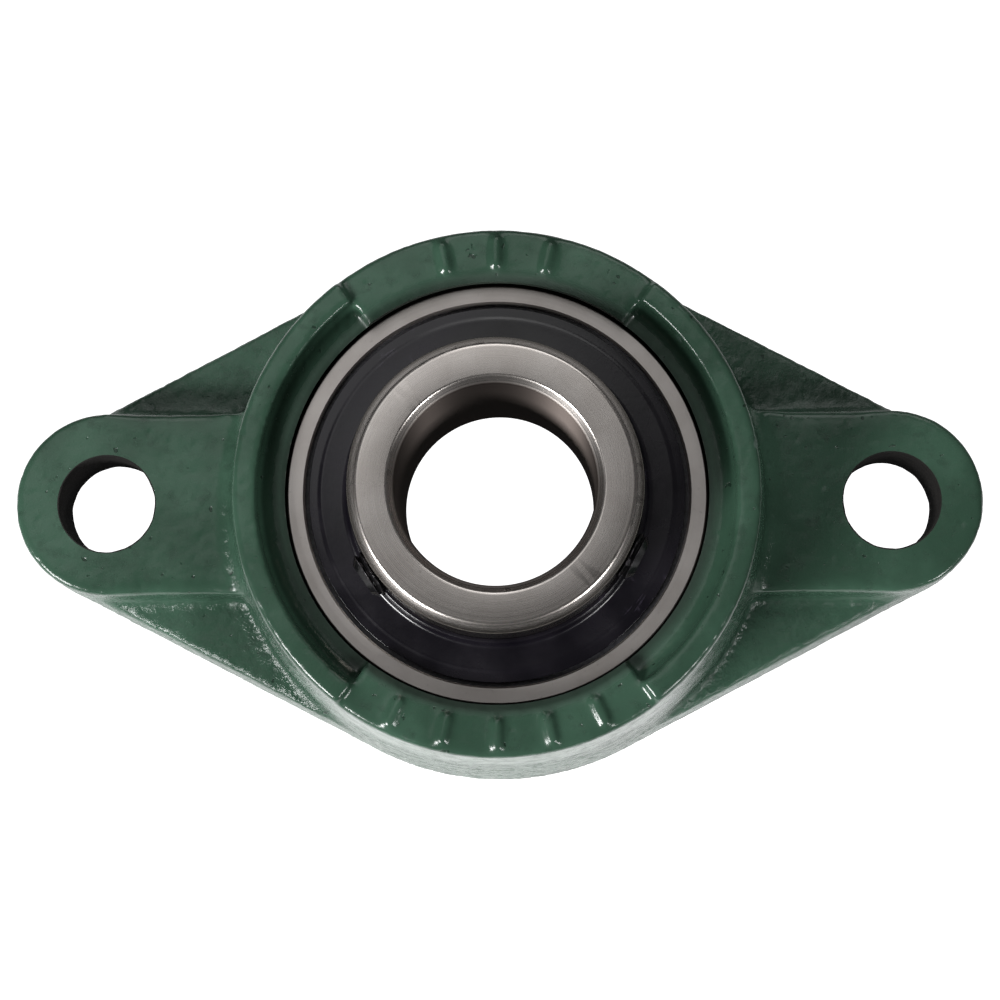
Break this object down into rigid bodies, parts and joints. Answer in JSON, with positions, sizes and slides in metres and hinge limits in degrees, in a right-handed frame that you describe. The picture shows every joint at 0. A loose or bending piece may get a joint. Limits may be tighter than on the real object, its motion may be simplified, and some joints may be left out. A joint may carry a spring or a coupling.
{
  "type": "flange mount bearing",
  "caption": "Rhombic flange bearing unit: a cast housing holds a sealed, self-aligning ball bearing insert that carries a shaft at right angles to the mounting face.",
  "frame": {"origin": "on the bore axis at the flat mounting face", "axes": "+Z along the bore from the mounting face to the front, +X through the two bolt holes, +Y across them"},
  "size_m": [0.161, 0.0912, 0.0444],
  "materials": {
    "housing_paint": "semi-gloss dark sea green enamel over sand-cast iron, machined seat, bores and back face bare",
    "ring_steel": "ground bearing steel",
    "ball_steel": "polished bearing steel",
    "cage_steel": "pressed steel strip with a film of grease",
    "seal_rubber": "moulded nitrile rubber",
    "seal_plate": "pressed zinc-plated steel",
    "slinger_black": "pressed steel with satin blue-black coating",
    "screw_black": "black oxide alloy steel",
    "plug_steel": "zinc-plated steel"
  },
  "bodies": {
    "housing": {"housing": "housing_paint", "grease_port_plug": "plug_steel"},
    "insert": {"outer_ring": "ring_steel", "seal_rubber_front": "seal_rubber", "seal_plate_front": "seal_plate", "seal_rubber_back": "seal_rubber", "seal_plate_back": "seal_plate"},
    "inner": {"inner_ring": "ring_steel", "slinger_front": "slinger_black", "slinger_back": "slinger_black"},
    "cage": {"cage_half_front": "cage_steel", "cage_half_back": "cage_steel", "cage_rivets": "cage_steel"},
    "ball_1": {"ball_1": "ball_steel"},
    "ball_2": {"ball_2": "ball_steel"},
    "ball_3": {"ball_3": "ball_steel"},
    "ball_4": {"ball_4": "ball_steel"},
    "ball_5": {"ball_5": "ball_steel"},
    "ball_6": {"ball_6": "ball_steel"},
    "ball_7": {"ball_7": "ball_steel"},
    "ball_8": {"ball_8": "ball_steel"},
    "ball_9": {"ball_9": "ball_steel"},
    "screw_a": {"set_screw_a": "screw_black"},
    "screw_b": {"set_screw_b": "screw_black"}
  },
  "joints": [
    {"name": "insert_tilt", "type": "hinge", "parent": "housing", "child": "insert", "pos_m": [0, 0, 0.019], "axis": [1, 0, 0], "range_deg": [-2, 2]},
    {"name": "shaft_spin", "type": "hinge", "parent": "insert", "child": "inner", "pos_m": [0, 0, 0.019], "axis": [0, 0, 1], "continuous": true},
    {"name": "cage_spin", "type": "hinge", "parent": "insert", "child": "cage", "pos_m": [0, 0, 0.019], "axis": [0, 0, 1], "continuous": true},
    {"name": "ball_1_spin", "type": "hinge", "parent": "cage", "child": "ball_1", "pos_m": [0, 0.02675, 0.019], "axis": [0, 0, 1], "continuous": true},
    {"name": "ball_2_spin", "type": "hinge", "parent": "cage", "child": "ball_2", "pos_m": [-0.01719, 0.02049, 0.019], "axis": [0, 0, 1], "continuous": true},
    {"name": "ball_3_spin", "type": "hinge", "parent": "cage", "child": "ball_3", "pos_m": [-0.02634, 0.00465, 0.019], "axis": [0, 0, 1], "continuous": true},
    {"name": "ball_4_spin", "type": "hinge", "parent": "cage", "child": "ball_4", "pos_m": [-0.02317, -0.01337, 0.019], "axis": [0, 0, 1], "continuous": true},
    {"name": "ball_5_spin", "type": "hinge", "parent": "cage", "child": "ball_5", "pos_m": [-0.00915, -0.02514, 0.019], "axis": [0, 0, 1], "continuous": true},
    {"name": "ball_6_spin", "type": "hinge", "parent": "cage", "child": "ball_6", "pos_m": [0.00915, -0.02514, 0.019], "axis": [0, 0, 1], "continuous": true},
    {"name": "ball_7_spin", "type": "hinge", "parent": "cage", "child": "ball_7", "pos_m": [0.02317, -0.01337, 0.019], "axis": [0, 0, 1], "continuous": true},
    {"name": "ball_8_spin", "type": "hinge", "parent": "cage", "child": "ball_8", "pos_m": [0.02634, 0.00465, 0.019], "axis": [0, 0, 1], "continuous": true},
    {"name": "ball_9_spin", "type": "hinge", "parent": "cage", "child": "ball_9", "pos_m": [0.01719, 0.02049, 0.019], "axis": [0, 0, 1], "continuous": true},
    {"name": "screw_a_travel", "type": "slide", "parent": "inner", "child": "screw_a", "axis": [0.829, 0.5592, 0], "range_m": [-0.0015, 0.00185]},
    {"name": "screw_b_travel", "type": "slide", "parent": "inner", "child": "screw_b", "axis": [-0.8988, 0.4384, 0], "range_m": [-0.0015, 0.00185]}
  ],
  "couplings": [
    {"joint": "cage_spin", "follows": "shaft_spin", "ratio": 0.39615},
    {"joint": "ball_1_spin", "follows": "shaft_spin", "ratio": -2.3035},
    {"joint": "ball_2_spin", "follows": "shaft_spin", "ratio": -2.3035},
    {"joint": "ball_3_spin", "follows": "shaft_spin", "ratio": -2.3035},
    {"joint": "ball_4_spin", "follows": "shaft_spin", "ratio": -2.3035},
    {"joint": "ball_5_spin", "follows": "shaft_spin", "ratio": -2.3035},
    {"joint": "ball_6_spin", "follows": "shaft_spin", "ratio": -2.3035},
    {"joint": "ball_7_spin", "follows": "shaft_spin", "ratio": -2.3035},
    {"joint": "ball_8_spin", "follows": "shaft_spin", "ratio": -2.3035},
    {"joint": "ball_9_spin", "follows": "shaft_spin", "ratio": -2.3035}
  ]
}
